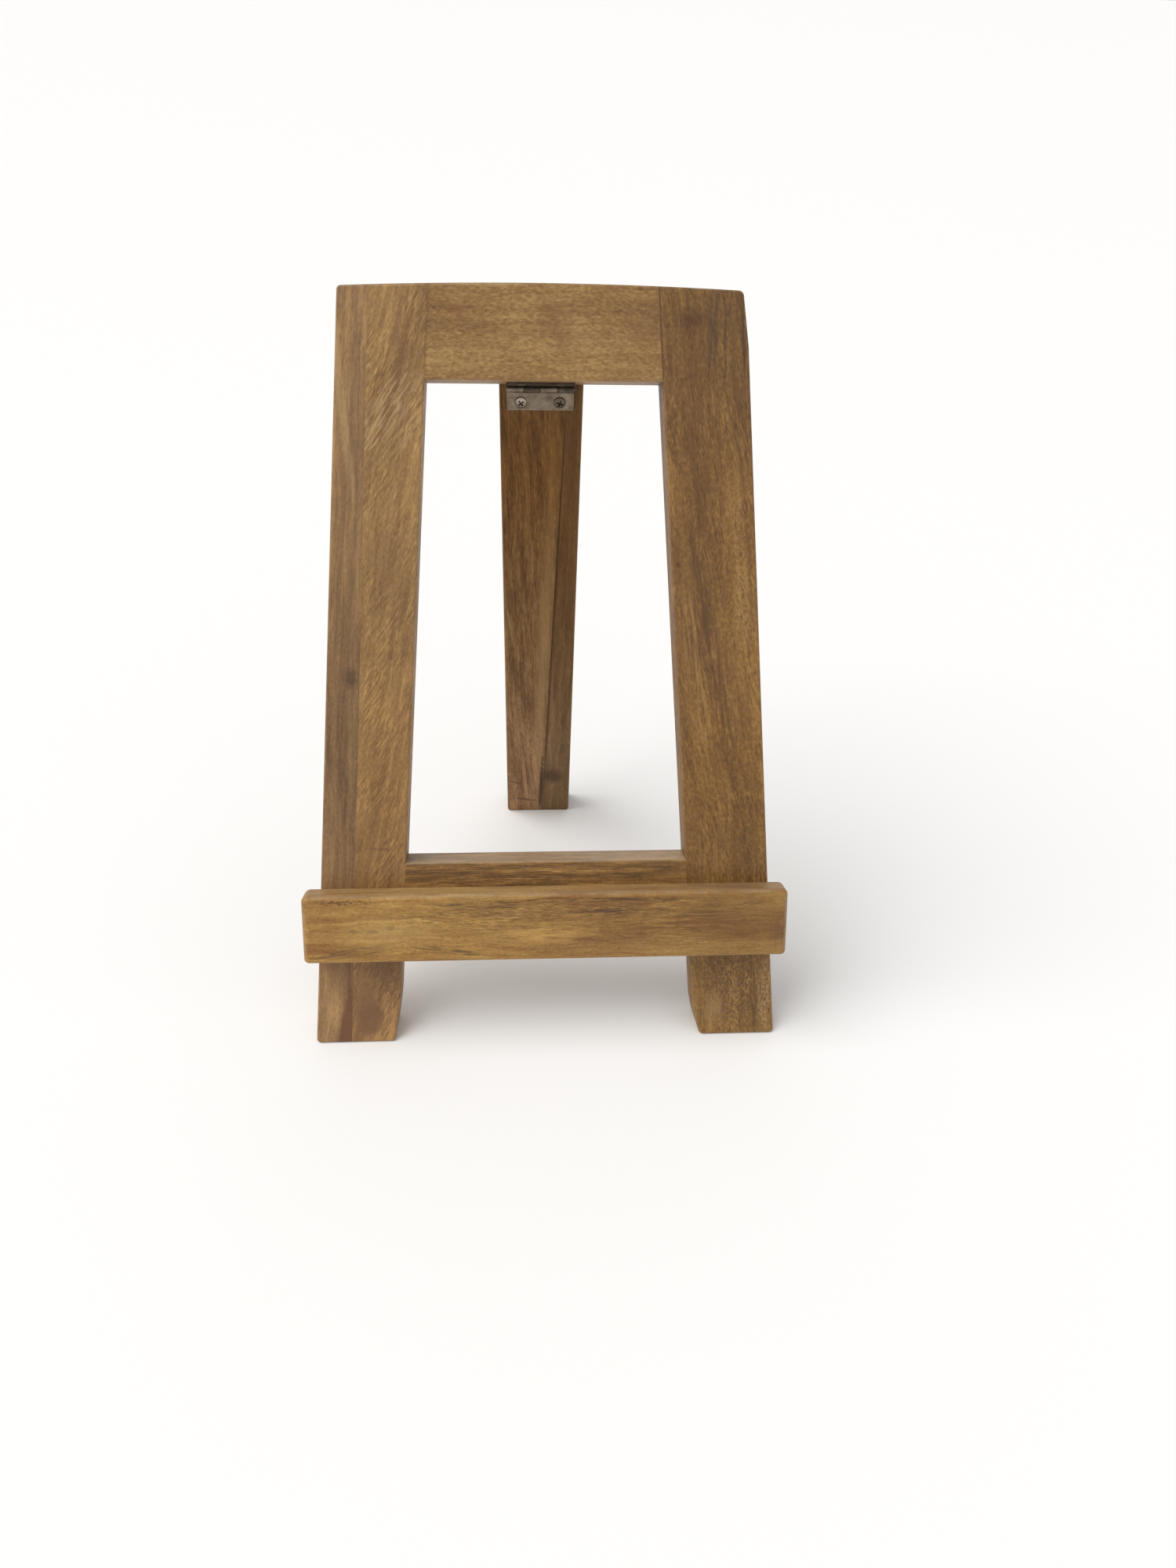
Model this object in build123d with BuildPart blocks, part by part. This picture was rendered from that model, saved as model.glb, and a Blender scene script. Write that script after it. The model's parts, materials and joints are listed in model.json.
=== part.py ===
from build123d import *
import os
from math import cos, radians, sin

# Plate display stand: a tapered wooden A-frame that leans back on a hinged rear leg.
# X runs across the stand, +Y to the back and +Z up. The floor is Z = 0, and the origin
# is the centre of the footprint. Lengths are millimetres.

# ---- driving dimensions -------------------------------------------------------------

# The frame, drawn flat in its own plane: across, and up from the feet.
frame_length = 300.8            # up to its top corners
top_crown = 1.5                 # how far the top edge rises between them
top_crown_x = -27.0
stock = 15.0                    # thickness of the frame's boards and of the leg
outer_half_top = 75.8           # centre line to a stile's outer edge
outer_half_foot = 97.85
inner_half_top = 42.5           # centre line to a stile's inner edge
inner_half_foot = 63.25
glue_half_top = 64.4            # centre line to the left stile's glue line
glue_half_foot = 83.0
top_rail_height = 32.7
bottom_rail_top = 79.5
bottom_rail_height = 32.5
frame_lean = 21.0               # degrees back from upright

# The ledge across the front that carries the plate.
ledge_length = 199.0
ledge_height = 28.7
ledge_thickness = 10.5
ledge_bottom = 40.5

# The rear leg.
leg_width = 32.9
leg_middle_x = -0.7             # the leg and the hinge sit a little to the left
leg_angle = 34.0                # degrees between the open leg and the frame
leg_glue_top = 9.1              # glue line at the hinge, from the frame's middle
leg_glue_foot = 1.0             # glue line at the floor
leg_reach = 250.0               # hinge to floor along the leg, for the glue line

# The butt hinge between the top rail's underside and the leg's front face.
hinge_length = 26.2
hinge_middle_x = -1.1
leaf_width = 9.6                # axis to a leaf's free edge
leaf_thickness = 0.8
knuckle_count = 4
knuckle_gap = 0.2
knuckle_radius = 1.5
pin_radius = 0.7
running_clearance = 0.04        # pin in the leg leaf's knuckles, on the radius
wood_clearance = 0.2            # knuckles to the wood, and leg top to the top rail
leaf_relief = 1.9               # how far a leaf stands back from the other's knuckles
leaf_corner = 0.4
leaf_hole_radius = 2.5          # at the leaf's face, countersunk at 90 degrees
leaf_hole_offset = 0.5          # holes sit this much nearer the axis than the screws
pin_proud = 0.25                # past the knuckles at each end

# Screws and dowels.
leaf_screw_spacing = 15.2
leaf_screw_reach = 6.7          # axis to screw centres
leaf_screw_head = 2.25          # radii of the head and the core
leaf_screw_core = 1.25
leaf_screw_length = 10.0
leaf_screw_sunk = 0.35          # the head's rim below the leaf's face
leaf_screw_dome = 0.45
leaf_screw_turns = (38.0, 70.0)
ledge_screw_head = 3.2
ledge_screw_core = 1.75
ledge_screw_length = 22.0
ledge_screw_half_spacing = 70.0
ledge_screw_heights = (48.0, 62.0)
dowel_radius = 3.0
dowel_length = 26.0
dowel_inset = 8.0               # dowel centre to a rail's top or bottom edge

# Sanded edges.
edge_round = 1.0
ledge_top_round = 2.6           # the ledge's top front edge, worn by plates
ledge_end_round = 3.0
ledge_bottom_round = 1.2
ledge_back_round = 0.6
toe_corners = (1.6, 1.6, 2.2, 1.6)      # left outer, left inner, right inner, right outer
left_toe_wear = ((20.0, 0.0), (10.0, 0.7), (0.0, 1.7))     # height and wear, inner edge
right_toe_wear = ((16.0, 0.0), (6.0, 1.2), (0.0, 2.7))
top_corner_left = 1.6
top_corner_right = 2.2
worn_depth = 1.2                # extra wear beside the right stile's top corner
worn_length = 20.0
leg_toe_corner = 1.4

# ---- places worked out from them ----------------------------------------------------

lean = radians(frame_lean)
leg_tilt = radians(leg_angle - frame_lean)
spare = 5.0                     # how far cutting shapes reach past the wood

rail_underside = frame_length - top_rail_height
bottom_rail_bottom = bottom_rail_top - bottom_rail_height
above_frame = frame_length + spare
leaf_offset = knuckle_radius + wood_clearance

# The hinge axis lies in the frame's back face, just under the top rail.
axis_up_frame = rail_underside - leaf_offset
axis_behind_feet = axis_up_frame * sin(lean) + stock * cos(lean)
axis_height = axis_up_frame * cos(lean) - stock * sin(lean)

# The leg's back face meets the floor here, behind the frame's front bottom edge.
back_reach = (axis_height * sin(leg_tilt) + leaf_offset + stock) / cos(leg_tilt)
depth = axis_behind_feet + back_reach
front_y = -depth / 2
hinge_y = front_y + axis_behind_feet

# Local x is across and local y is up the frame or the leg, and the normal faces forward.
frame_front = Plane(origin=(0, front_y, 0), x_dir=(1, 0, 0), z_dir=(0, -cos(lean), sin(lean)))
frame_back = frame_front.offset(-stock)
frame_normal = Axis((0, 0, 0), (0, -cos(lean), sin(lean)))
frame_rise = Axis((0, 0, 0), (0, sin(lean), cos(lean)))
forward_and_up = Axis((0, 0, 0), (0, sin(lean) - cos(lean), sin(lean) + cos(lean)))
leg_middle = Plane(
    origin=(0, hinge_y, axis_height), x_dir=(1, 0, 0), z_dir=(0, -cos(leg_tilt), -sin(leg_tilt))
)
leg_front = leg_middle.offset(-leaf_offset)
leg_back = leg_front.offset(-stock)
leg_normal = Axis((0, 0, 0), (0, -cos(leg_tilt), -sin(leg_tilt)))

# The wood faces the leaves lie on, from the hinge's middle: local y runs to the hinge axis.
leg_leaf_face = Plane(
    origin=leg_front.from_local_coords((hinge_middle_x, 0, 0)),
    x_dir=(1, 0, 0),
    z_dir=leg_front.z_dir,
)
rail_leaf_face = Plane(
    origin=frame_front.from_local_coords((hinge_middle_x, rail_underside, -stock)),
    x_dir=(-1, 0, 0),
    z_dir=(0, -sin(lean), -cos(lean)),
)
hinge_section = Plane(
    origin=(hinge_middle_x - hinge_length / 2, hinge_y, axis_height), z_dir=(1, 0, 0)
)


def stile_edge(half_top, half_foot, height):
    """How far a stile's edge is from the centre line at a height up the frame."""
    return half_foot + (half_top - half_foot) * height / frame_length


def outer_half(height):
    return stile_edge(outer_half_top, outer_half_foot, height)


def inner_half(height):
    return stile_edge(inner_half_top, inner_half_foot, height)


def glue_half(height):
    return stile_edge(glue_half_top, glue_half_foot, height)


def toe_wear_points(wear, side):
    """The outline of a toe's inner edge, from where the wear starts down to the floor."""
    return [(side * (inner_half(height) + depth), height) for height, depth in wear]


def leg_glue_x(along):
    """The leg's glue line at a distance up the leg from the hinge."""
    return leg_glue_top - (leg_glue_foot - leg_glue_top) * along / leg_reach


# ---- screws and dowels --------------------------------------------------------------


def screw_blank(head_radius, core_radius, length, sunk, dome):
    """A wood screw with no drive recess: +Z out of the head, Z = 0 at the fixed face."""
    cone_end = -sunk - (head_radius - core_radius)
    with BuildPart() as blank:
        with BuildSketch(Plane.XZ):
            with BuildLine():
                Line((0, -length), (core_radius, -length + 2 * core_radius))
                Line((core_radius, -length + 2 * core_radius), (core_radius, cone_end))
                Line((core_radius, cone_end), (head_radius, -sunk))
                ThreePointArc(
                    (head_radius, -sunk), (head_radius * 0.55, dome * 0.72 - sunk), (0, dome - sunk)
                )
                Line((0, dome - sunk), (0, -length))
            make_face()
        revolve(axis=Axis.Z)
    return blank


def cross_driven(blank, arm, slot, recess):
    """The same screw with a tapered cross recess in its head."""
    with BuildPart() as driven:
        add(blank.part)
        with BuildSketch(Plane.XY.offset(blank.part.bounding_box().max.Z)):
            Rectangle(2 * arm, slot)
            Rectangle(slot, 2 * arm)
        extrude(amount=-recess, taper=9, mode=Mode.SUBTRACT)
    return driven


def screw_places(plane, points, turns):
    """One location per screw on a plane, each turned about its own axis."""
    return [plane.location * Pos(x, y) * Rot(0, 0, turn) for (x, y), turn in zip(points, turns)]


leaf_blank = screw_blank(
    leaf_screw_head, leaf_screw_core, leaf_screw_length, leaf_screw_sunk, leaf_screw_dome
)
leaf_screw = cross_driven(leaf_blank, arm=1.35, slot=0.62, recess=1.1)
ledge_blank = screw_blank(ledge_screw_head, ledge_screw_core, ledge_screw_length, 0.1, 0.1)
ledge_screw = cross_driven(ledge_blank, arm=1.9, slot=0.9, recess=1.6)

leaf_screw_points = [(side * leaf_screw_spacing / 2, -leaf_screw_reach) for side in (-1, 1)]
leg_screw_places = screw_places(
    leg_leaf_face.offset(leaf_thickness), leaf_screw_points, leaf_screw_turns
)
rail_screw_places = screw_places(
    rail_leaf_face.offset(leaf_thickness), leaf_screw_points, leaf_screw_turns[::-1]
)
ledge_screw_points = [
    (side * ledge_screw_half_spacing, height) for height in ledge_screw_heights for side in (-1, 1)
]
# The ledge is fixed from behind, so the screws face the frame's back.
ledge_screw_places = [
    frame_back.location * Pos(x, y) * Rot(0, 180, 0) * Rot(0, 0, 25 * count)
    for count, (x, y) in enumerate(ledge_screw_points)
]

with BuildPart() as leg_leaf_screws:
    with Locations(*leg_screw_places):
        add(leaf_screw.part)

with BuildPart() as rail_leaf_screws:
    with Locations(*rail_screw_places):
        add(leaf_screw.part)

with BuildPart() as ledge_screws:
    with Locations(*ledge_screw_places):
        add(ledge_screw.part)

# The holes the screws sit in have no cross in them.
with BuildPart() as leg_leaf_screw_holes:
    with Locations(*leg_screw_places):
        add(leaf_blank.part)

with BuildPart() as rail_leaf_screw_holes:
    with Locations(*rail_screw_places):
        add(leaf_blank.part)

with BuildPart() as ledge_screw_holes:
    with Locations(*ledge_screw_places):
        add(ledge_blank.part)


def dowel_places(rail_bottom, rail_top):
    """Two dowels at each end of a rail, centred on the joint with the stile."""
    heights = (rail_bottom + dowel_inset, rail_top - dowel_inset)
    across = [(side, height) for height in heights for side in (-1, 1)]
    middle = frame_front.offset(-stock / 2)
    return [
        middle.location * Pos(side * inner_half(height), height) * Rot(0, 90, 0)
        for side, height in across
    ]


with BuildPart() as top_rail_dowels:
    with Locations(*dowel_places(rail_underside, frame_length)):
        Cylinder(dowel_radius, dowel_length)
    chamfer(top_rail_dowels.edges().filter_by(GeomType.CIRCLE), length=0.6)

with BuildPart() as bottom_rail_dowels:
    with Locations(*dowel_places(bottom_rail_bottom, bottom_rail_top)):
        Cylinder(dowel_radius, dowel_length)
    chamfer(bottom_rail_dowels.edges().filter_by(GeomType.CIRCLE), length=0.6)


# ---- the frame ----------------------------------------------------------------------
# The boards are glued up, cut flat to the floor and sanded as one, so the joints are
# flush and only the outline, the window and the feet have rounded edges.

with BuildPart() as sanded_frame:
    with BuildSketch(frame_back):
        with BuildLine():
            Polyline(
                (-outer_half_top, frame_length),
                (-outer_half(-spare), -spare),
                (outer_half(-spare), -spare),
                (outer_half(frame_length - worn_length), frame_length - worn_length),
                (outer_half_top - worn_depth, frame_length),
            )
            ThreePointArc(
                (outer_half_top - worn_depth, frame_length),
                (top_crown_x, frame_length + top_crown),
                (-outer_half_top, frame_length),
            )
        make_face()
        Polygon(
            (-inner_half(bottom_rail_top), bottom_rail_top),
            (inner_half(bottom_rail_top), bottom_rail_top),
            (inner_half(rail_underside), rail_underside),
            (-inner_half(rail_underside), rail_underside),
            mode=Mode.SUBTRACT,
        )
        with BuildLine():
            left_toe = ThreePointArc(*toe_wear_points(left_toe_wear, -1))
            right_toe = ThreePointArc(*toe_wear_points(right_toe_wear, 1))
            Polyline(
                left_toe @ 0,
                (-inner_half(bottom_rail_bottom), bottom_rail_bottom),
                (inner_half(bottom_rail_bottom), bottom_rail_bottom),
                right_toe @ 0,
            )
            Polyline(
                left_toe @ 1,
                left_toe @ 1 + spare * (left_toe % 1),
                right_toe @ 1 + spare * (right_toe % 1),
                right_toe @ 1,
            )
        make_face(mode=Mode.SUBTRACT)
    extrude(amount=stock)
    split(bisect_by=Plane.XY, keep=Keep.TOP)
    feet = sanded_frame.faces().sort_by(Axis.Z)[:2]
    toes = feet.edges().filter_by(lambda edge: edge.length < 1.5 * stock).sort_by(Axis.X)
    for toe, radius in zip(toes, toe_corners):
        fillet(toe, radius=radius)
    top_ends = sanded_frame.edges().filter_by(frame_normal).sort_by(Axis.Z)[-2:].sort_by(Axis.X)
    for corner, radius in zip(top_ends, (top_corner_left, top_corner_right)):
        fillet(corner, radius=radius)
    broad_faces = sanded_frame.faces().filter_by(frame_normal)
    fillet(broad_faces.edges(), radius=edge_round)

with BuildPart() as left_stile_outer_strip:
    with BuildSketch(frame_back):
        Polygon(
            (-outer_half_foot - spare, -spare),
            (-glue_half(-spare), -spare),
            (-glue_half(above_frame), above_frame),
            (-outer_half_foot - spare, above_frame),
        )
    extrude(amount=stock)
    add(sanded_frame.part, mode=Mode.INTERSECT)

with BuildPart() as left_stile_inner_strip:
    with BuildSketch(frame_back):
        Polygon(
            (-glue_half(-spare), -spare),
            (-inner_half(-spare), -spare),
            (-inner_half(above_frame), above_frame),
            (-glue_half(above_frame), above_frame),
        )
    extrude(amount=stock)
    add(sanded_frame.part, mode=Mode.INTERSECT)
    for fixing in (top_rail_dowels, bottom_rail_dowels, ledge_screw_holes):
        add(fixing.part, mode=Mode.SUBTRACT)

with BuildPart() as right_stile:
    with BuildSketch(frame_back):
        Polygon(
            (inner_half(-spare), -spare),
            (outer_half_foot + spare, -spare),
            (outer_half_foot + spare, above_frame),
            (inner_half(above_frame), above_frame),
        )
    extrude(amount=stock)
    add(sanded_frame.part, mode=Mode.INTERSECT)
    for fixing in (top_rail_dowels, bottom_rail_dowels, ledge_screw_holes):
        add(fixing.part, mode=Mode.SUBTRACT)

with BuildPart() as top_rail:
    with BuildSketch(frame_back):
        Polygon(
            (-inner_half(rail_underside), rail_underside),
            (inner_half(rail_underside), rail_underside),
            (inner_half(above_frame), above_frame),
            (-inner_half(above_frame), above_frame),
        )
    extrude(amount=stock)
    add(sanded_frame.part, mode=Mode.INTERSECT)
    for fixing in (top_rail_dowels, rail_leaf_screw_holes):
        add(fixing.part, mode=Mode.SUBTRACT)

with BuildPart() as bottom_rail:
    with BuildSketch(frame_back):
        Polygon(
            (-inner_half(bottom_rail_bottom), bottom_rail_bottom),
            (inner_half(bottom_rail_bottom), bottom_rail_bottom),
            (inner_half(bottom_rail_top), bottom_rail_top),
            (-inner_half(bottom_rail_top), bottom_rail_top),
        )
    extrude(amount=stock)
    add(sanded_frame.part, mode=Mode.INTERSECT)
    add(bottom_rail_dowels.part, mode=Mode.SUBTRACT)

with BuildPart() as ledge:
    with BuildSketch(frame_front):
        with Locations((0, ledge_bottom + ledge_height / 2)):
            Rectangle(ledge_length, ledge_height)
    extrude(amount=ledge_thickness)
    front_face = ledge.faces().sort_by(frame_normal)[-1]
    fillet(front_face.edges().sort_by(Axis.Z)[-1], radius=ledge_top_round)
    ends = ledge.faces().sort_by(Axis.X)
    rims = [end.edges().sort_by(forward_and_up)[-3:] for end in (ends[0], ends[-1])]
    fillet(rims[0] + rims[1], radius=ledge_end_round)
    bottom_face = ledge.faces().filter_by(frame_rise).sort_by(Axis.Z)[0]
    fillet(bottom_face.edges().sort_by(frame_normal)[1:], radius=ledge_bottom_round)
    back_face = ledge.faces().sort_by(frame_normal)[0]
    fillet(back_face.edges(), radius=ledge_back_round)
    add(ledge_screw_holes.part, mode=Mode.SUBTRACT)

# ---- the rear leg -------------------------------------------------------------------
# One bar, cut flat to the floor at the foot. Its top is cut back so that it lies against
# the top rail when the leg is open, which is the stop.

with BuildPart() as sanded_leg:
    with BuildSketch(leg_back):
        with Locations((leg_middle_x, -leg_reach / 2)):
            Rectangle(leg_width, leg_reach + 4 * stock)
    extrude(amount=stock)
    split(bisect_by=Plane.XY, keep=Keep.TOP)
    split(bisect_by=frame_back.offset(-wood_clearance), keep=Keep.BOTTOM)
    foot = sanded_leg.faces().sort_by(Axis.Z)[0]
    fillet(foot.edges().filter_by(Axis.Y), radius=leg_toe_corner)
    fillet(sanded_leg.faces().filter_by(leg_normal).edges(), radius=edge_round)

with BuildPart() as leg_wide_strip:
    with BuildSketch(leg_back):
        Polygon(
            (-leg_width, -leg_reach - 2 * stock),
            (leg_glue_x(-leg_reach - 2 * stock), -leg_reach - 2 * stock),
            (leg_glue_x(3 * stock), 3 * stock),
            (-leg_width, 3 * stock),
        )
    extrude(amount=stock)
    add(sanded_leg.part, mode=Mode.INTERSECT)
    add(leg_leaf_screw_holes.part, mode=Mode.SUBTRACT)

with BuildPart() as leg_narrow_strip:
    with BuildSketch(leg_back):
        Polygon(
            (leg_glue_x(-leg_reach - 2 * stock), -leg_reach - 2 * stock),
            (leg_width, -leg_reach - 2 * stock),
            (leg_width, 3 * stock),
            (leg_glue_x(3 * stock), 3 * stock),
        )
    extrude(amount=stock)
    add(sanded_leg.part, mode=Mode.INTERSECT)
    add(leg_leaf_screw_holes.part, mode=Mode.SUBTRACT)

# ---- the hinge ----------------------------------------------------------------------
# Each leaf has every other knuckle. The rail leaf grips the pin, and the leg leaf turns.

knuckle_pitch = hinge_length / knuckle_count


def hinge_leaf(face, first_knuckle, bore_radius, screw_holes):
    """A leaf laid on a face plane whose local y runs up to the hinge axis."""
    own = range(first_knuckle, knuckle_count, 2)
    others = [index for index in range(knuckle_count) if index not in own]
    notches = [
        (face.x_dir.X * ((index + 0.5) * knuckle_pitch - hinge_length / 2), 0) for index in others
    ]
    with BuildPart() as leaf:
        with BuildSketch(face) as outline:
            with Locations((0, -leaf_width / 2)):
                Rectangle(hinge_length, leaf_width)
            fillet(outline.vertices().group_by(Axis.Y)[0], radius=leaf_corner)
            with Locations(*notches):
                Rectangle(knuckle_pitch + knuckle_gap, 2 * leaf_relief, mode=Mode.SUBTRACT)
        extrude(amount=leaf_thickness)
        with BuildSketch(
            *[hinge_section.offset(index * knuckle_pitch + knuckle_gap / 2) for index in own]
        ):
            Circle(knuckle_radius)
        extrude(amount=knuckle_pitch - knuckle_gap)
        with BuildSketch(hinge_section):
            Circle(bore_radius)
        extrude(amount=hinge_length, mode=Mode.SUBTRACT)
        with Locations(face.offset(leaf_thickness)):
            with Locations(*[(x, y + leaf_hole_offset) for x, y in leaf_screw_points]):
                CounterSinkHole(
                    radius=leaf_hole_radius - leaf_thickness,
                    counter_sink_radius=leaf_hole_radius,
                    depth=2 * leaf_thickness,
                    counter_sink_angle=90,
                )
        add(screw_holes.part, mode=Mode.SUBTRACT)
    return leaf


hinge_leg_leaf = hinge_leaf(leg_leaf_face, 0, pin_radius + running_clearance, leg_leaf_screw_holes)
hinge_rail_leaf = hinge_leaf(rail_leaf_face, 1, pin_radius, rail_leaf_screw_holes)

with BuildPart() as hinge_pin:
    with BuildSketch(hinge_section.offset(-pin_proud)):
        Circle(pin_radius)
    extrude(amount=hinge_length + 2 * pin_proud)
    chamfer(hinge_pin.edges().filter_by(GeomType.CIRCLE), length=pin_proud)

# ---- write one file per piece -------------------------------------------------------

pieces = {
    "left_stile_outer_strip": left_stile_outer_strip,
    "left_stile_inner_strip": left_stile_inner_strip,
    "right_stile": right_stile,
    "top_rail": top_rail,
    "bottom_rail": bottom_rail,
    "ledge": ledge,
    "top_rail_dowels": top_rail_dowels,
    "bottom_rail_dowels": bottom_rail_dowels,
    "ledge_screws": ledge_screws,
    "hinge_rail_leaf": hinge_rail_leaf,
    "rail_leaf_screws": rail_leaf_screws,
    "hinge_pin": hinge_pin,
    "hinge_leg_leaf": hinge_leg_leaf,
    "leg_leaf_screws": leg_leaf_screws,
    "leg_wide_strip": leg_wide_strip,
    "leg_narrow_strip": leg_narrow_strip,
}

os.makedirs("parts", exist_ok=True)
for name, piece in pieces.items():
    piece.part.label = name
    export_step(piece.part, f"parts/{name}.step")
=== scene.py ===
import json
import math

import bpy
from mathutils import Matrix, Vector


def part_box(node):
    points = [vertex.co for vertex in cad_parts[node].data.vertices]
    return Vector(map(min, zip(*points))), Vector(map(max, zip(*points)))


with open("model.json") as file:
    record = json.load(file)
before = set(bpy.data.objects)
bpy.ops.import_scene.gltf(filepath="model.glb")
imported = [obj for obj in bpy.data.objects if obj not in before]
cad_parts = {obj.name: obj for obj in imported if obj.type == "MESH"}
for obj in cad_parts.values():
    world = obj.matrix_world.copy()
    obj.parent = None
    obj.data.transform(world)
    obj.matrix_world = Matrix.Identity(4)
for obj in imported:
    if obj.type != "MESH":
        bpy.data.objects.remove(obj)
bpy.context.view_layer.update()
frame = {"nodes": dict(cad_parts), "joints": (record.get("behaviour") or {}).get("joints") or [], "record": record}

# Plate display stand: a waxed mango wood easel with a tarnished steel hinge.
# Blender works in metres. Each board also has its own axes, in millimetres: x across the
# stand, y up the board and z out of its front face.

MM = 0.001

# ---- the boards' axes ---------------------------------------------------------------

mounts = {mount["name"]: mount for mount in frame["record"]["mounts"]}
hinge = frame["joints"][0]
across = Vector((1, 0, 0))


def board_axes(point, front):
    """A board's axes as a matrix, with their origin on the floor, down the board from point."""
    up = front.cross(across)
    origin = point - up * (point.z / up.z)
    axes = Matrix((across, up, front)).transposed().to_4x4()
    return Matrix.Translation(origin) @ axes


frame_front = Vector(mounts["frame_face"]["axis"]).normalized()
frame_axes = board_axes(Vector(mounts["frame_face"]["pos_m"]), frame_front)

# At rest the leg is open, its whole fold away from the frame.
leg_fold = Matrix.Rotation(math.radians(hinge["range_deg"][1]), 3, "X")
leg_axes = board_axes(Vector(hinge["pos_m"]), leg_fold @ frame_front)


# ---- shader nodes -------------------------------------------------------------------

SEED_STEP = (17.3, 5.9, 11.1)     # how far one seed's noise is from the next one's
FLAT_FACE = 0.97                  # largest part of the normal on a flat face
ROUND_EDGE = 0.78                 # and well round the curve of an edge


def straightened(share):
    """One channel of an sRGB colour, from 0 to 1, made linear with sRGB's own numbers."""
    if share < 0.04045:
        return share / 12.92
    return ((share + 0.055) / 1.055) ** 2.4


def linear(hex_colour):
    """A colour written as RRGGBB, as the shader's linear colour."""
    shares = [int(hex_colour[at:at + 2], 16) / 255 for at in (0, 2, 4)]
    return (*[straightened(share) for share in shares], 1.0)


class Shader:
    """One material, with its nodes added by short calls that return sockets."""

    def __init__(self, name):
        self.material = bpy.data.materials.new(name)
        self.material.use_nodes = True
        self.nodes = self.material.node_tree.nodes
        self.links = self.material.node_tree.links
        self.surface = self.nodes["Principled BSDF"]

    def feed(self, socket, value):
        """Links value to the socket if it is a socket too, and otherwise sets it there."""
        if isinstance(value, bpy.types.NodeSocket):
            self.links.new(value, socket)
        else:
            socket.default_value = value

    def add(self, kind, inputs, **settings):
        """A new node, with its settings and inputs."""
        node = self.nodes.new(kind)
        for setting, value in settings.items():
            setattr(node, setting, value)
        for socket, value in inputs.items():
            self.feed(node.inputs[socket], value)
        return node

    def finish(self, **values):
        """Sets the surface's own sockets, such as roughness=0.5 or base_color=socket."""
        for name, value in values.items():
            socket = name.replace("_", " ").title().replace("Ior", "IOR")
            self.feed(self.surface.inputs[socket], value)
        return self.material

    def math(self, operation, first, second=0.0, third=0.0):
        node = self.add("ShaderNodeMath", {0: first, 1: second, 2: third}, operation=operation)
        return node.outputs[0]

    def vector(self, operation, first, second):
        node = self.add("ShaderNodeVectorMath", {0: first, 1: second}, operation=operation)
        return node.outputs["Vector"]

    def length(self, vector):
        node = self.add("ShaderNodeVectorMath", {0: vector}, operation="LENGTH")
        return node.outputs["Value"]

    def ramp(self, value, start, end, low=0.0, high=1.0):
        """Value taken smoothly from low at start to high at end."""
        inputs = {"Value": value, "From Min": start, "From Max": end, "To Min": low, "To Max": high}
        node = self.add("ShaderNodeMapRange", inputs, interpolation_type="SMOOTHSTEP")
        return node.outputs["Result"]

    def colours(self, value, stops):
        """Value as a colour, through (place, RRGGBB) stops."""
        node = self.add("ShaderNodeValToRGB", {"Fac": value})
        elements = node.color_ramp.elements
        while len(elements) < len(stops):
            elements.new(0.5)
        for element, (place, colour) in zip(elements, stops):
            element.position = place
            element.color = linear(colour)
        return node.outputs["Color"]

    def mix(self, share, first, second, blend="MIX"):
        """Two colours mixed, with share of the second."""
        node = self.add("ShaderNodeMix", {}, data_type="RGBA", blend_type=blend)
        self.feed(node.inputs[0], share)
        self.feed(node.inputs[6], linear(first) if isinstance(first, str) else first)
        self.feed(node.inputs[7], linear(second) if isinstance(second, str) else second)
        return node.outputs[2]

    def place_in(self, axes, turn=0.0):
        """Where a point is in a board's axes, in millimetres, turned about the board's z."""
        turned = axes @ Matrix.Rotation(math.radians(turn), 4, "Z")
        inputs = {
            "Vector": self.nodes.new("ShaderNodeTexCoord").outputs["Object"],
            "Location": turned.to_translation(),
            "Rotation": turned.to_euler(),
            "Scale": (MM, MM, MM),
        }
        return self.add("ShaderNodeMapping", inputs, vector_type="TEXTURE").outputs["Vector"]

    def noise(self, place, size, seed, detail=2.0, roughness=0.5, output="Fac"):
        """Noise with features of a size in millimetres along x, y and z."""
        inputs = {
            "Vector": place,
            "Location": [seed * step for step in SEED_STEP],
            "Scale": [1 / side for side in size],
        }
        scaled = self.add("ShaderNodeMapping", inputs).outputs["Vector"]
        inputs = {"Vector": scaled, "Scale": 1.0, "Detail": detail, "Roughness": roughness}
        return self.add("ShaderNodeTexNoise", inputs).outputs[output]

    def wander(self, place, size, amount, seed):
        """Place moved about smoothly by up to amount, so straight lines wander."""
        moved = self.noise(place, size, seed, output="Color")
        centred = self.vector("SUBTRACT", moved, (0.5, 0.5, 0.5))
        return self.vector("ADD", place, self.vector("MULTIPLY", centred, amount))

    def facing(self, axes):
        """How far the surface faces along the board's x, y and z."""
        normal = self.nodes.new("ShaderNodeTexCoord").outputs["Normal"]
        inputs = {"Vector": normal, "Rotation": axes.to_euler()}
        turned = self.add("ShaderNodeMapping", inputs, vector_type="TEXTURE").outputs["Vector"]
        return self.add("ShaderNodeSeparateXYZ", {"Vector": turned}).outputs

    def edges(self, facing):
        """1 on rounded edges and 0 on a board's flat faces."""
        x, y, z = [self.math("ABSOLUTE", part) for part in facing]
        largest = self.math("MAXIMUM", self.math("MAXIMUM", x, y), z)
        return self.ramp(largest, FLAT_FACE, ROUND_EDGE)


# ---- marks on the wood --------------------------------------------------------------
# Each one is placed by x and y on its board, in millimetres, and goes right through. It is a
# function that takes the material, the board's axes and the colour under it.

THROUGH = 400.0                   # depth of a mark, much more than a board's thickness
SHADE_LENGTH = 310.0              # a little more than the longest board

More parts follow.
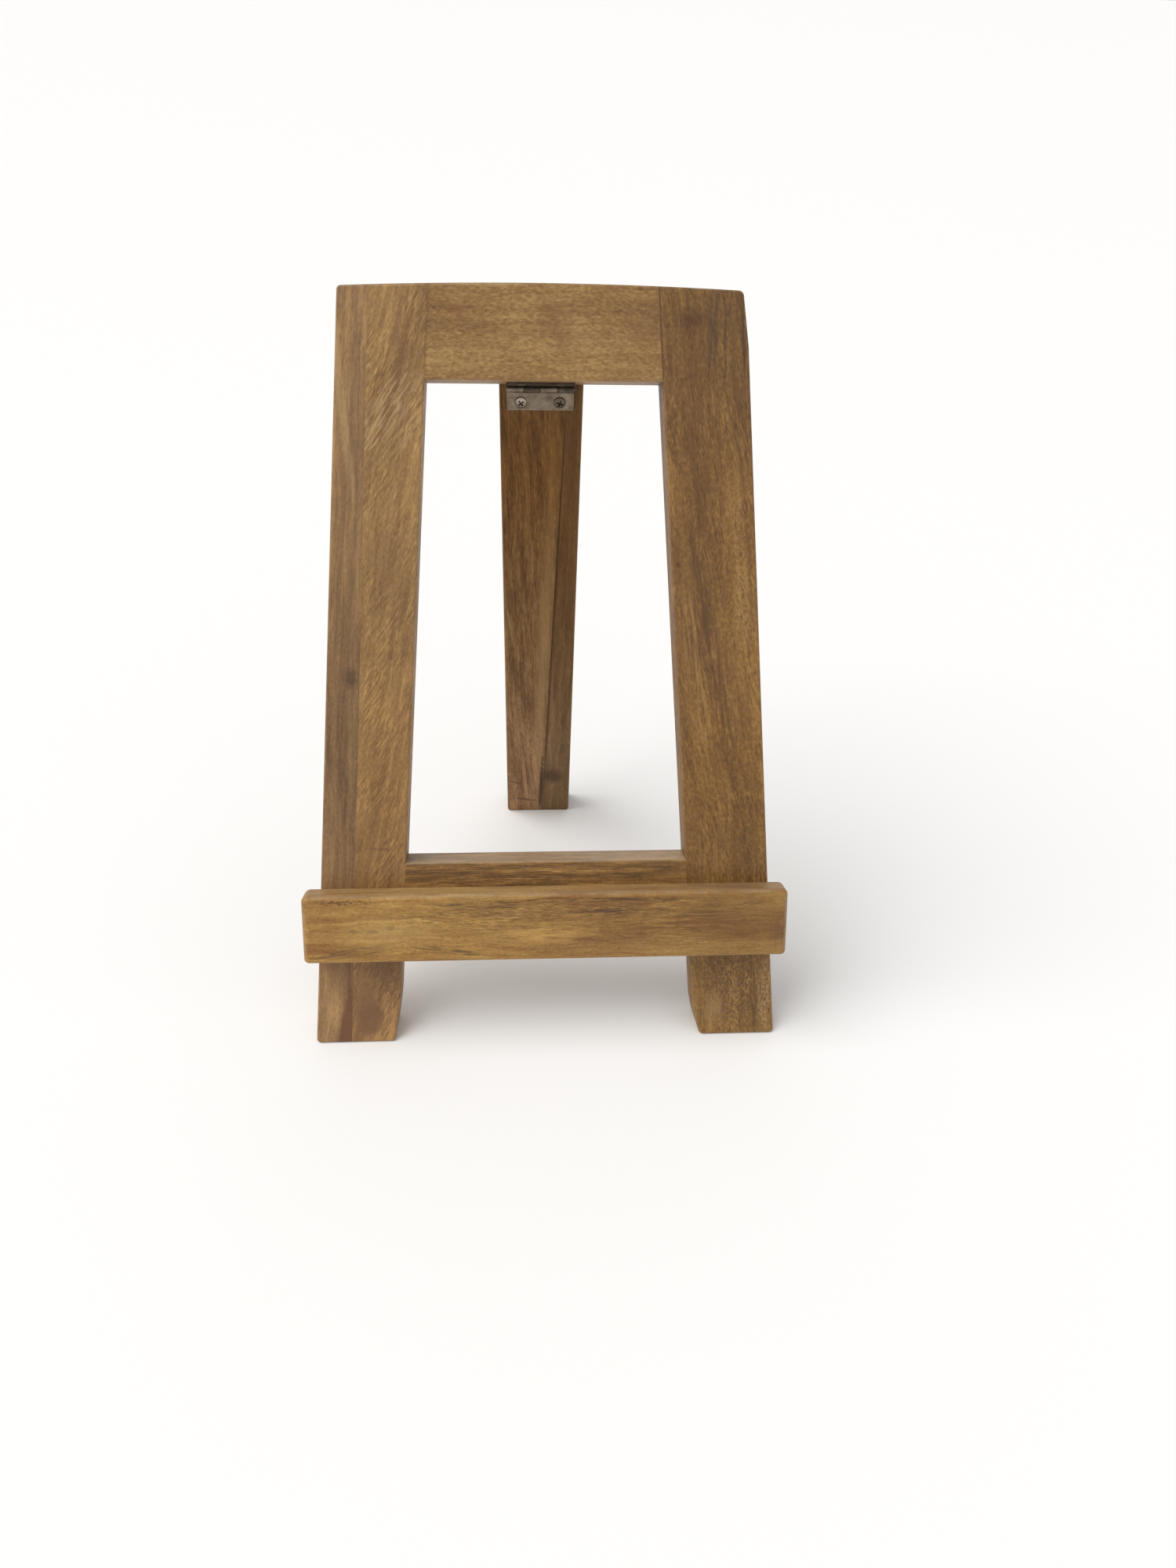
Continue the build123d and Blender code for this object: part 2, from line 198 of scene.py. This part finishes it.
PATCH_LUMPS = 0.3                 # size of its outline's lumps, as a share of its own size
PATCH_LUMP_DEPTH = 8
PATCH_RAGGED = 0.8                # how far the lumps move its outline, in half widths
PATCH_STREAK_DEPTH = 4.0
PATCH_STREAKS = (0.44, 0.6)       # noise at which its streaks start and are full

KNOT_LENGTH = 1.4                 # against its width
KNOT_LUMP_SIZE = (1.5, 2.0, 8)
KNOT_RAGGED = 0.7
KNOT_REACH = (2.4, 0.5)           # where a knot starts and is full, in half widths
KNOT_RINGS = 7.5                  # radians of the rings' wave in each half width
KNOT_RING_DEPTH = 0.14
KNOT_RING_MEAN = 0.8


def place_on(wood, board, x, y, turn, scale=(1, 1, 1)):
    """The board's axes moved to a mark's middle, turned with it and measured in scale."""
    inputs = {
        "Vector": board,
        "Location": (x, y, 0),
        "Rotation": (0, 0, math.radians(turn)),
        "Scale": scale,
    }
    return wood.add("ShaderNodeMapping", inputs, vector_type="TEXTURE").outputs["Vector"]


def patch(x, y, width, height, colour, strength, turn=0.0, soft=0.6, grain=None, blend="MIX"):
    """A ragged, soft-edged oval. With a grain size in millimetres it breaks up into streaks."""
    seed = abs(x) + y
    lumps = (width * PATCH_LUMPS, height * PATCH_LUMPS, PATCH_LUMP_DEPTH)
    edge = 1 + PATCH_RAGGED / 2

    def lay(wood, board, under):
        place = place_on(wood, board, x, y, turn)
        reach = wood.vector("MULTIPLY", place, (2 / width, 2 / height, 2 / THROUGH))
        ragged = wood.noise(place, lumps, seed, detail=4.0)
        away = wood.math("MULTIPLY_ADD", ragged, PATCH_RAGGED, wood.length(reach))
        share = wood.ramp(away, edge, edge - soft, 0.0, strength)
        if grain:
            streaks = wood.noise(place, (*grain, PATCH_STREAK_DEPTH), seed + 3)
            share = wood.math("MULTIPLY", share, wood.ramp(streaks, *PATCH_STREAKS))
        return wood.mix(share, under, colour, blend)

    return lay


def knot(x, y, width, colour, strength, turn=0.0):
    """A small knot with faint rings round it."""

    def lay(wood, board, under):
        half_size = (width / 2, width / 2 * KNOT_LENGTH, THROUGH)
        place = place_on(wood, board, x, y, turn, half_size)
        ragged = wood.noise(board, KNOT_LUMP_SIZE, x + y, detail=3.0)
        away = wood.math("MULTIPLY_ADD", ragged, KNOT_RAGGED, wood.length(place))
        rings = wood.math("SINE", wood.math("MULTIPLY", away, KNOT_RINGS))
        rings = wood.math("MULTIPLY_ADD", rings, KNOT_RING_DEPTH, KNOT_RING_MEAN)
        share = wood.math("MULTIPLY", wood.ramp(away, *KNOT_REACH, 0.0, strength), rings)
        return wood.mix(share, under, colour)

    return lay


def shade(*stops):
    """Darkens the board by (y, RRGGBB) stops up its length. White leaves it as it is."""

    def lay(wood, board, under):
        along = wood.add("ShaderNodeSeparateXYZ", {"Vector": board}).outputs["Y"]
        places = [(y / SHADE_LENGTH, colour) for y, colour in stops]
        tint = wood.colours(wood.math("DIVIDE", along, SHADE_LENGTH), places)
        return wood.mix(1.0, under, tint, "MULTIPLY")

    return lay


# ---- wood ---------------------------------------------------------------------------
# Sizes are in millimetres: across the grain, along it and into the board.

BEND_SIZE = (38, 60, 38)          # the slow bends of the grain
BEND_ALONG = 2.0
RIPPLE_SIZE = (7, 16, 7)          # and its small ripples
RIPPLE = (0.9, 1.5, 0.9)

BROAD_SIZE = (15, 90, 15)
STREAK_SIZE = (1.9, 34, 1.9)
FIBRE_SIZE = (0.42, 4.5, 0.42)
MOTTLE_SIZE = (0.9, 1.7, 0.9)
BROAD_CONTRAST = 0.7
STREAK_CONTRAST = 0.7
FIBRE_CONTRAST = 0.18
MOTTLE_CONTRAST = 0.3
DARK_TONE = 0.24
MID_TONE = 0.5
LIGHT_TONE = 0.76

FIGURE_BEND_SIZE = (18, 26, 18)
FIGURE_BEND = (3.5, 0.0, 3.5)
RIBBON_SIZE = (0.65, 6, 5)        # the figure's short light and dark ribbons
RIBBON_MIDDLE = 0.48
CLUMP_SIZE = (11, 19, 11)         # and the clumps they come in
CLUMPS = (0.4, 0.62)

HEART_SIZE = (24, 70, 24)
HEART_PATCHES = (0.46, 0.68)
HEART_TINT = "6B4A30"
LINE_SIZE = (0.8, 30, 0.8)
LINE_THRESHOLDS = (0.57, 0.7)

DASH_SIZE = (0.24, 1.7, 0.24)     # the open pores
CROWD_SIZE = (9, 12, 9)           # and where they crowd together
CROWDING = 0.16
PORE_THRESHOLDS = (0.6, 0.8)
PORE_SHADE = "9C8163"
PORE_STRENGTH = 0.35

WORN_SIZE = (5, 9, 5)
WORN_PATCHES = (0.35, 0.7)
WORN_STRENGTH = (0.05, 0.35)
WORN_COLOUR = "A58C6C"
DUST_SHEEN_SIZE = (6, 6, 3)
DUST_SHEEN_PATCHES = (0.25, 0.6)
DUST_SHEEN_LEAST = 0.6
DUST_SHEEN_LIES = (0.55, 0.9)           # how far a face must look up its board to take its dusting and painted sheen

WAX_ROUGHNESS = 0.42
MOTTLE_ROUGHNESS = 0.16
PORE_ROUGHNESS = 0.16
PORE_DEPTH = -1.0
FIBRE_HEIGHT = 0.35
STREAK_HEIGHT = 0.3
RELIEF = 0.12 * MM
RELIEF_STRENGTH = 0.27


def add_figure(wood, axes, board, tone, figure, turn, seed):
    """Tone with the ribbons of the figure, which run at their own angle."""
    place = wood.place_in(axes, turn)
    place = wood.wander(place, FIGURE_BEND_SIZE, FIGURE_BEND, seed)
    ribbon = wood.noise(place, RIBBON_SIZE, seed + 1, roughness=0.6)
    clump = wood.ramp(wood.noise(board, CLUMP_SIZE, seed + 2), *CLUMPS)
    ribbon = wood.math("MULTIPLY", wood.math("SUBTRACT", ribbon, RIBBON_MIDDLE), clump)
    return wood.math("MULTIPLY_ADD", ribbon, figure, tone)


def wear(wood, board, facing, colour, seed):
    """Edges handled bare of wax, which are a little greyer and lighter."""
    worn = wood.ramp(wood.noise(board, WORN_SIZE, seed), *WORN_PATCHES, *WORN_STRENGTH)
    return wood.mix(wood.math("MULTIPLY", wood.edges(facing), worn), colour, WORN_COLOUR)


def dust_and_sheen(wood, board, facing, colour, dust_sheen_colour, dust_sheen, seed):
    """Dust and painted sheen: faces that look up the board are mixed towards a greyer colour, partly for dirt and
    partly for the light and sheen that fall on them.
    """
    dust_sheen_share = wood.noise(board, DUST_SHEEN_SIZE, seed, detail=3.0)
    dust_sheen_share = wood.ramp(dust_sheen_share, *DUST_SHEEN_PATCHES, DUST_SHEEN_LEAST, 1.0)
    lies = wood.ramp(facing["Y"], *DUST_SHEEN_LIES, 0.0, dust_sheen)
    return wood.mix(wood.math("MULTIPLY", dust_sheen_share, lies), colour, dust_sheen_colour)


def mango(name, axes, seed, dark, mid, light, turn=0.0, wander=6.0, figure=0.0, figure_turn=0.0,
          pores=1.0, tones=1.0, streaks=1.0, lines=0.4, fibres=1.0, mottles=1.0, dust_sheen=0.0,
          dust_sheen_colour="B8A78F", gloss=0.4, tinted=0.3, marks=()):
    """Waxed mango wood: broad tones, growth streaks, fibres, figure and short dark pores.

    Turns are in degrees from the board's length, and wander is in millimetres. The other
    optional numbers are strengths, and 1 is usual for pores, tones, streaks, fibres and mottles.
    """
    wood = Shader(name)
    board = wood.place_in(axes)
    grain = wood.place_in(axes, turn)
    grain = wood.wander(grain, BEND_SIZE, (wander, BEND_ALONG, wander), seed)
    grain = wood.wander(grain, RIPPLE_SIZE, RIPPLE, seed + 1)

    broad = wood.noise(grain, BROAD_SIZE, seed + 2)
    streak = wood.noise(grain, STREAK_SIZE, seed + 3, detail=3.0, roughness=0.6)
    fibre = wood.noise(grain, FIBRE_SIZE, seed + 4, detail=1.0)
    mottle = wood.noise(grain, MOTTLE_SIZE, seed + 5)

    # Noise is about a half on average, so each layer lightens as much as it darkens.
    contrast = BROAD_CONTRAST * tones
    tone = wood.math("MULTIPLY_ADD", broad, contrast, MID_TONE - 0.5 * contrast)
    for layer, contrast in (
        (streak, STREAK_CONTRAST * streaks),
        (fibre, FIBRE_CONTRAST * fibres),
        (mottle, MOTTLE_CONTRAST * mottles),
    ):
        shift = wood.math("MULTIPLY_ADD", layer, contrast, -0.5 * contrast)
        tone = wood.math("ADD", tone, shift)
    if figure:
        tone = add_figure(wood, axes, board, tone, figure, figure_turn, seed + 6)
    colour = wood.colours(tone, [(DARK_TONE, dark), (MID_TONE, mid), (LIGHT_TONE, light)])

    # Patches where the heartwood's colour comes through.
    heart = wood.ramp(wood.noise(grain, HEART_SIZE, seed + 9), *HEART_PATCHES, 0.0, tinted)
    colour = wood.mix(heart, colour, HEART_TINT)

    # Thin dark growth lines.
    line = wood.ramp(wood.noise(grain, LINE_SIZE, seed + 13), *LINE_THRESHOLDS)
    colour = wood.mix(wood.math("MULTIPLY", line, lines), colour, dark)

    for mark in marks:
        colour = mark(wood, board, colour)

    # Short open pores along the grain.
    dashes = wood.noise(grain, DASH_SIZE, seed + 10)
    crowd = wood.noise(board, CROWD_SIZE, seed + 11, detail=1.0)
    pore = wood.ramp(wood.math("MULTIPLY_ADD", crowd, CROWDING, dashes), *PORE_THRESHOLDS)
    deep = wood.mix(1.0, colour, PORE_SHADE, "MULTIPLY")
    colour = wood.mix(wood.math("MULTIPLY", pore, PORE_STRENGTH * pores), colour, deep)

    facing = wood.facing(axes)
    colour = wear(wood, board, facing, colour, seed + 12)
    # Painted sheen, with a dusting, on faces that look up the board.
    if dust_sheen:
        colour = dust_and_sheen(wood, board, facing, colour, dust_sheen_colour, dust_sheen, seed + 14)

    roughness = wood.math("MULTIPLY_ADD", mottle, MOTTLE_ROUGHNESS, WAX_ROUGHNESS)
    roughness = wood.math("MULTIPLY_ADD", pore, PORE_ROUGHNESS, roughness)
    height = wood.math("MULTIPLY", fibre, FIBRE_HEIGHT)
    height = wood.math("MULTIPLY_ADD", pore, PORE_DEPTH, height)
    height = wood.math("MULTIPLY_ADD", streak, STREAK_HEIGHT, height)
    inputs = {"Height": height, "Strength": RELIEF_STRENGTH, "Distance": RELIEF}
    bump = wood.add("ShaderNodeBump", inputs)
    return wood.finish(
        base_color=colour,
        roughness=roughness,
        normal=bump.outputs["Normal"],
        specular_ior_level=gloss,
    )


# ---- the boards' own woods ----------------------------------------------------------

DARK_LINE = "4A3320"
PLAIN = "FFFFFF"                  # a shade that leaves the wood as it is

left_outer_wood = mango(
    "mango_grey_brown", frame_axes, 1, dark="6F5135", mid="92714A", light="B48C5A",
    turn=-4.3, streaks=1.05,
    marks=(
        shade((0, PLAIN), (28, PLAIN), (60, "F1EFEF"), (115, "E8E5E3"), (190, "E8E7E6"),
              (235, "F6F6F6"), (275, PLAIN)),
        # Long streaks: light and brown at the top, and a thin dark one most of the way down.
        patch(-75.8, 262, 5, 90, "B8976A", 0.4, turn=4),
        patch(-70.0, 270, 5, 70, "755C42", 0.35, turn=-3, grain=(1.2, 18)),
        patch(-73.2, 200, 1.4, 220, "5E4732", 0.22, turn=-3.6),
        patch(-85.4, 118, 5, 30, DARK_LINE, 0.35, turn=8, grain=(0.7, 12)),
        knot(-76.6, 156, 4.2, DARK_LINE, 0.85),
        # The dark wedge on the foot, and its tip.
        patch(-85.4, 0, 7.6, 58, "70482E", 0.9, turn=-6.6, soft=0.35),
        patch(-82.9, 27, 2.2, 32, "6B4B30", 0.7, turn=-3),
    ))
left_inner_wood = mango(
    "mango_golden", frame_axes, 20, dark="7D5C35", mid="9B7849", light="BE955C", turn=-12,
    figure=1.2, figure_turn=-31, mottles=1.5,
    marks=(
        shade((0, "F1EAEA"), (30, "F1EAEA"), (75, "F3EBE3"), (120, "F6EFE6"), (190, PLAIN)),
        # A short dark mark above the ledge.
        patch(-67.9, 85.7, 11, 1.6, "6B422B", 0.5, turn=-4),
        # The foot: its brown patch.
        patch(-74.8, 12.0, 14, 22, "775538", 0.9, turn=-6, soft=0.55),
        patch(-75.5, 21, 8, 16, "85603E", 0.5, turn=-4),
        # Painted shade just under the ledge, then darker flecked wood above the brown patch.
        patch(-70, 33, 20, 12, "6E5239", 0.5, soft=1.0),
        patch(-62, 30, 24, 34, "5E4228", 0.5, turn=-20, grain=(0.8, 1.7)),
        # The joint with the top rail.
        patch(-43.5, 290, 1.2, 64, DARK_LINE, 0.35, turn=-3.9),
        # Light diagonal marks near the top.
        patch(-60, 256, 16, 60, "C2A479", 0.5, turn=-35, grain=(0.8, 9)),
        patch(-55, 248, 12, 44, "BE9D6E", 0.3, turn=-38, grain=(0.9, 12)),
    ))
right_wood = mango(
    "mango_brown", frame_axes, 40, dark="664722", mid="846030", light="A47D44",
    turn=8, wander=11.0, figure=1.0, figure_turn=13, streaks=0.8, lines=0.25, mottles=2.2,
    marks=(
        shade((0, PLAIN), (40, PLAIN), (90, "E9E4D6"), (130, "F6F1E8"), (185, PLAIN),
              (225, "F6F3F3"), (255, "E7E5EB"), (300, "E3E2EA")),
        # Dark wood at the top.
        patch(55.4, 290, 15, 13, "54371F", 0.8, soft=0.9),
        patch(66, 284, 16, 46, "4D3A2B", 0.6, grain=(1.7, 18)),
        patch(75.0, 284, 1.6, 34, DARK_LINE, 0.7, turn=4),
        # Long dark and light streaks down the middle, and a small dark spot.
        patch(58, 238, 4, 60, "563B22", 0.45, turn=7, grain=(1.2, 20)),
        patch(62, 190, 12, 120, "563B22", 0.55, turn=10, grain=(1.6, 24)),
        patch(70, 150, 12, 90, "50361D", 0.5, turn=9, grain=(1.4, 24)),
        patch(77, 196, 8, 90, "AD8A5A", 0.4, turn=4, grain=(0.6, 1.2)),
        patch(56, 264, 18, 62, "6E492C", 0.45, soft=1.0),
        patch(60, 160, 10, 90, "A9854F", 0.4, turn=8, grain=(1.1, 22)),
        patch(52.1, 200, 2.2, 3.6, DARK_LINE, 0.7),
        # The foot: its dark line, the flecks on each side of it, and a pale spot.
        patch(88.5, 20, 3.6, 50, DARK_LINE, 0.6, turn=3, grain=(1.0, 14)),
        patch(93, 20, 7, 44, "B3956C", 0.6, grain=(0.8, 1.2)),
        patch(79, 22, 36, 54, "4E3722", 0.6, grain=(0.7, 1.0)),
        patch(72, 12, 14, 22, "A58558", 0.4, soft=1.0),
        # The joint with the top rail.
        patch(43.5, 290, 1.4, 64, DARK_LINE, 0.55, turn=3.9),
    ))
top_rail_wood = mango(
    "mango_light_golden", frame_axes, 60, dark="71512B", mid="8F6C3E", light="AD8A56", turn=90,
    pores=1.1, mottles=2.2, streaks=0.8, lines=0.1, figure=0.5, figure_turn=60,
    marks=(
        # A reddish patch and two slanting bands.
        patch(-32.9, 292, 12, 8, "8A5634", 0.4, soft=1.0),
        patch(4, 288, 14, 34, "7A5430", 0.55, turn=22, soft=1.0),
        patch(36, 284, 10, 30, "7E5730", 0.35, turn=30, soft=1.0),
        # The joint with the left stile.
        patch(-43.0, 290, 1.0, 64, DARK_LINE, 0.25, turn=-3.9),
    ))
bottom_rail_wood = mango(
    "mango_streaked", frame_axes, 80, dark="684B25", mid="916A38", light="B88C51", turn=90,
    # Painted sheen, with a dusting, on the rail's top face.
    streaks=1.7, lines=0.7, dust_sheen=0.38,
    marks=(
        patch(0, 75, 160, 12, "402A18", 0.45, grain=(9, 0.4)),
        patch(-20, 71, 120, 8, "402A18", 0.4, grain=(7, 0.4)),
    ))
ledge_wood = mango(
    "mango_honey", frame_axes, 100, dark="825526", mid="A37B3E", light="C59D57",
    # Painted sheen, with a greyer dusting, on the ledge's top face.
    turn=90, wander=9.0, streaks=1.1, pores=1.2, dust_sheen=0.3, dust_sheen_colour="8A7C6C",
    marks=(
        # The left end: flecks under the top edge, three dark spots, and streaks at the bottom.
        patch(-82, 66.6, 36, 2.6, "53381E", 0.85, grain=(1.5, 0.8)),
        patch(-78.8, 54.1, 4.0, 2.2, "5B3D22", 0.6),
        patch(-71.0, 54.0, 6.5, 2.4, "5B3D22", 0.65),
        patch(-63.8, 55.4, 5.0, 2.6, "5B3D22", 0.55),
        patch(-80, 45, 46, 5, "66492C", 0.65, turn=7, grain=(10, 0.5)),
        # Dark flecks and lines along the ledge.
        patch(10, 62, 170, 10, "5E3E20", 0.6, turn=-1, grain=(5, 0.5)),
        patch(-30, 58, 110, 14, "6A4622", 0.5, turn=-2, grain=(4, 0.5)),
        patch(10, 66, 120, 3, "4E351D", 0.75, grain=(9, 0.6)),
        patch(22, 61.4, 66, 2.8, DARK_LINE, 0.85, grain=(8, 0.55)),
        patch(-28, 64.3, 56, 3.0, DARK_LINE, 0.75, turn=-2, grain=(7, 0.55)),
        patch(48, 65.6, 50, 3.0, DARK_LINE, 0.6, grain=(6, 0.55)),
        patch(-40, 45, 50, 4, "5A4026", 0.75, turn=-8, grain=(8, 0.45)),
        patch(66, 59.3, 38, 3.4, DARK_LINE, 0.8, turn=1, grain=(12, 0.5)),
        patch(84, 63, 26, 3.0, DARK_LINE, 0.65, turn=9, grain=(12, 0.5)),
        patch(52, 57, 100, 30, "4A2F16", 0.42, grain=(10, 0.8)),
        # The right end is darker and browner.
        patch(97, 50, 10, 22, "523923", 0.5, soft=1.0, grain=(1.2, 6)),
        patch(78, 56, 90, 70, "6A4620", 0.72, soft=1.0),
        patch(95, 50, 15, 30, "6E4A30", 0.5, soft=1.0),
        # Pale honey wood on the left and in the middle.
        patch(-66, 53, 70, 16, "B28F57", 0.5, soft=1.0),
        patch(-4, 51, 84, 20, "C79D55", 0.45, soft=1.0, grain=(14, 2.0)),
    ))
leg_wood = mango(
    "mango_leg", leg_axes, 120, dark="654B31", mid="94704F", light="BC956B",
    turn=2, fibres=2.8, streaks=1.3, mottles=0.6, tones=0.35, tinted=0.1, gloss=0.15,
    marks=(
        # A light band beside the glue line.
        patch(2.0, 130, 10, 340, "CBA679", 0.5, turn=-1.8, soft=1.0),
        # Painted shade: darker towards the top of the leg, for the shadow under the top rail.
        shade((15, PLAIN), (35, "FDFDFD"), (130, "E3E1CE"), (215, "C6B487"), (250, "BCAC81")),
        # Checks near the foot, and the dark end of the glue line.
        patch(-13.2, 22.3, 9, 1.5, "3F2D1E", 0.6, turn=-24),
        patch(-7.0, 8.6, 18, 1.6, "3F2D1E", 0.65, turn=-13),
        patch(1.0, 24, 2.6, 62, "35261A", 0.85, turn=-1.8),
        # Light diagonal marks low on the leg.
        patch(-8, 60, 18, 90, "BC9A6E", 0.3, turn=20, grain=(0.6, 3)),
    ))
leg_dark_wood = mango(
    "mango_leg_dark", leg_axes, 140, dark="5A442A", mid="7E6344", light="A4835F",
    turn=-2, streaks=0.8, lines=0.3, fibres=1.4, mottles=0.6, pores=0.6, tones=0.4, tinted=0.1,
    gloss=0.15,
    marks=(
        # Painted shade, as on the wide strip: darker towards the top, under the top rail.
        shade((15, PLAIN), (35, "FDFDFD"), (130, "EEE0C8"), (215, "DBC7A5"), (250, "D0BC9B")),
        # The glue line.
        patch(5.6, 130, 1.8, 330, "6B5038", 0.5, turn=-1.8, blend="MULTIPLY"),
        knot(6.6, 27, 6.0, "2F2016", 0.85, turn=55),
        patch(7.5, 27, 12, 14, "5F4530", 0.55),
    ))
# The hidden dowels are plain beech, drawn with the same grain and no marks.
dowel_wood = mango(
    "beech_dowel", frame_axes, 160, dark="A98C64", mid="C3A57B", light="D2B68D", turn=90)


# ---- steel --------------------------------------------------------------------------

STAIN_SIZE = (4, 3, 3)            # in millimetres, along the hinge first
SCRATCH_SIZE = (5.0, 0.16, 0.16)
STAIN_CONTRAST = 0.65
SCRATCH_CONTRAST = 0.35
STEEL_TONES = (0.32, 0.5, 0.66)   # dark, mid and light
SCREW_SHADE_COLOUR = "54493C"
SCREW_SHADE_STRENGTH = 0.85
SCREW_SHADE_EDGE = 1.0
STAIN_ROUGHNESS = 0.25
STAIN_ROUGHNESS_MEAN = 0.12       # taken off again, so stains vary the roughness both ways
SCRATCH_RELIEF = 0.03 * MM
SCRATCH_STRENGTH = 0.15


def steel(name, seed, dark, mid, light, roughness, painted_shade_beyond=None):
    """Plated steel, dull from handling, with faint scratches along x and darker stains.

    Past a given x, in millimetres, it is painted darker all over: painted shade.
    """
    metal = Shader(name)
    inputs = {
        "Vector": metal.nodes.new("ShaderNodeTexCoord").outputs["Object"],
        "Scale": (1 / MM, 1 / MM, 1 / MM),
    }
    place = metal.add("ShaderNodeMapping", inputs).outputs["Vector"]
    stain = metal.noise(place, STAIN_SIZE, seed, detail=4.0, roughness=0.6)
    scratch = metal.noise(place, SCRATCH_SIZE, seed + 1)
    tone = metal.math("MULTIPLY", stain, STAIN_CONTRAST)
    tone = metal.math("MULTIPLY_ADD", scratch, SCRATCH_CONTRAST, tone)
    colour = metal.colours(tone, list(zip(STEEL_TONES, (dark, mid, light))))
    # Painted shade over the part past the given x.
    if painted_shade_beyond is not None:
        x = metal.add("ShaderNodeSeparateXYZ", {"Vector": place}).outputs["X"]
        edge = (painted_shade_beyond - SCREW_SHADE_EDGE, painted_shade_beyond + SCREW_SHADE_EDGE)
        painted_screw_shade = metal.ramp(x, *edge, 0.0, SCREW_SHADE_STRENGTH)
        colour = metal.mix(painted_screw_shade, colour, SCREW_SHADE_COLOUR)
    clean = roughness - STAIN_ROUGHNESS_MEAN
    stained = metal.math("MULTIPLY_ADD", stain, STAIN_ROUGHNESS, clean)
    inputs = {"Height": scratch, "Strength": SCRATCH_STRENGTH, "Distance": SCRATCH_RELIEF}
    bump = metal.add("ShaderNodeBump", inputs)
    return metal.finish(
        base_color=colour,
        roughness=stained,
        metallic=1.0,
        normal=bump.outputs["Normal"],
    )


leaf_low, leaf_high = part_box("hinge_leg_leaf")
leaf_middle = (leaf_low[0] + leaf_high[0]) / 2 / MM

# Painted reflection: the steels' brown tint stands partly for tarnish and partly for the wood reflected in them.
hinge_steel = steel(
    "hinge_steel", 200, dark="5C5043", mid="7D7060", light="998C7E", roughness=0.42)
# Painted shade: the rail's leaf is drawn in darker steel, for the shadow under the top rail.
rail_leaf_painted_shade_steel = steel(
    "rail_leaf_painted_shade_steel", 205, dark="3B332A", mid="544A3F", light="716658", roughness=0.5)
screw_steel = steel(
    "screw_steel", 210, dark="74695A", mid="A09686", light="BDB5A6", roughness=0.34)
# The right-hand screw in the leg's leaf is painted darker: painted shade, for the light that falls differently on
# it.
leaf_screw_steel = steel(
    "leaf_screw_steel", 215, dark="74695A", mid="A09686", light="BDB5A6", roughness=0.34,
    painted_shade_beyond=leaf_middle)

# ---- each node's material -----------------------------------------------------------

finishes = {
    "left_stile_outer_strip": left_outer_wood,
    "left_stile_inner_strip": left_inner_wood,
    "right_stile": right_wood,
    "top_rail": top_rail_wood,
    "bottom_rail": bottom_rail_wood,
    "ledge": ledge_wood,
    "leg_wide_strip": leg_wood,
    "leg_narrow_strip": leg_dark_wood,
    "top_rail_dowels": dowel_wood,
    "bottom_rail_dowels": dowel_wood,
    "ledge_screws": screw_steel,
    "rail_leaf_screws": screw_steel,
    "leg_leaf_screws": leaf_screw_steel,
    "hinge_rail_leaf": rail_leaf_painted_shade_steel,
    "hinge_leg_leaf": hinge_steel,
    "hinge_pin": hinge_steel,
}
for node, finish in finishes.items():
    slots = frame["nodes"][node].data.materials
    slots.clear()
    slots.append(finish)

# ---- floor, light and camera --------------------------------------------------------
# Angles are in degrees, and the lens and sensor are in millimetres.

FLOOR_HALF = 60.0
FLOOR_COLOUR = "F4F3F1"
FLOOR_ROUGHNESS = 0.8
WORLD_STRENGTH = 0.6
OVERHEAD_STRENGTH = 2.0
OVERHEAD_SPREAD = 50.0
OVERHEAD_FROM = Vector((-0.55, -0.12, 0.82))
CAMERA_FROM_FEET = Vector((-11.4, -354.0, 376.9)) * MM     # from the frame's bottom edge
LOOK_DOWN = 34.55
LOOK_RIGHT = 4.12
ROLL = 1.72
LENS = 27.05
SENSOR_WIDTH = 36.0
CLIP_START = 0.01

scene = bpy.context.scene

floor_mesh = bpy.data.meshes.new("floor")
corners = [(-FLOOR_HALF, -FLOOR_HALF), (FLOOR_HALF, -FLOOR_HALF),
           (FLOOR_HALF, FLOOR_HALF), (-FLOOR_HALF, FLOOR_HALF)]
floor_mesh.from_pydata([(x, y, 0) for x, y in corners], [], [(0, 1, 2, 3)])
floor = bpy.data.objects.new("floor", floor_mesh)
scene.collection.objects.link(floor)
pale = Shader("pale_floor")
floor_mesh.materials.append(
    pale.finish(base_color=linear(FLOOR_COLOUR), roughness=FLOOR_ROUGHNESS))

world = bpy.data.worlds.new("studio")
world.use_nodes = True
background = world.node_tree.nodes["Background"]
background.inputs["Color"].default_value = (1, 1, 1, 1)
background.inputs["Strength"].default_value = WORLD_STRENGTH
scene.world = world

overhead_data = bpy.data.lights.new("overhead", "SUN")
overhead_data.energy = OVERHEAD_STRENGTH
overhead_data.angle = math.radians(OVERHEAD_SPREAD)
overhead = bpy.data.objects.new("overhead", overhead_data)
overhead.rotation_euler = OVERHEAD_FROM.to_track_quat("Z", "Y").to_euler()
scene.collection.objects.link(overhead)

camera_data = bpy.data.cameras.new("camera")
camera_data.sensor_width = SENSOR_WIDTH
camera_data.lens = LENS
camera_data.clip_start = CLIP_START
camera = bpy.data.objects.new("camera", camera_data)
camera.location = frame_axes.to_translation() + CAMERA_FROM_FEET
camera.rotation_euler = (
    Matrix.Rotation(math.radians(-LOOK_RIGHT), 3, "Z")
    @ Matrix.Rotation(math.radians(90 - LOOK_DOWN), 3, "X")
    @ Matrix.Rotation(math.radians(ROLL), 3, "Z")
).to_euler()
scene.collection.objects.link(camera)
scene.camera = camera
scene.view_settings.view_transform = "Standard"
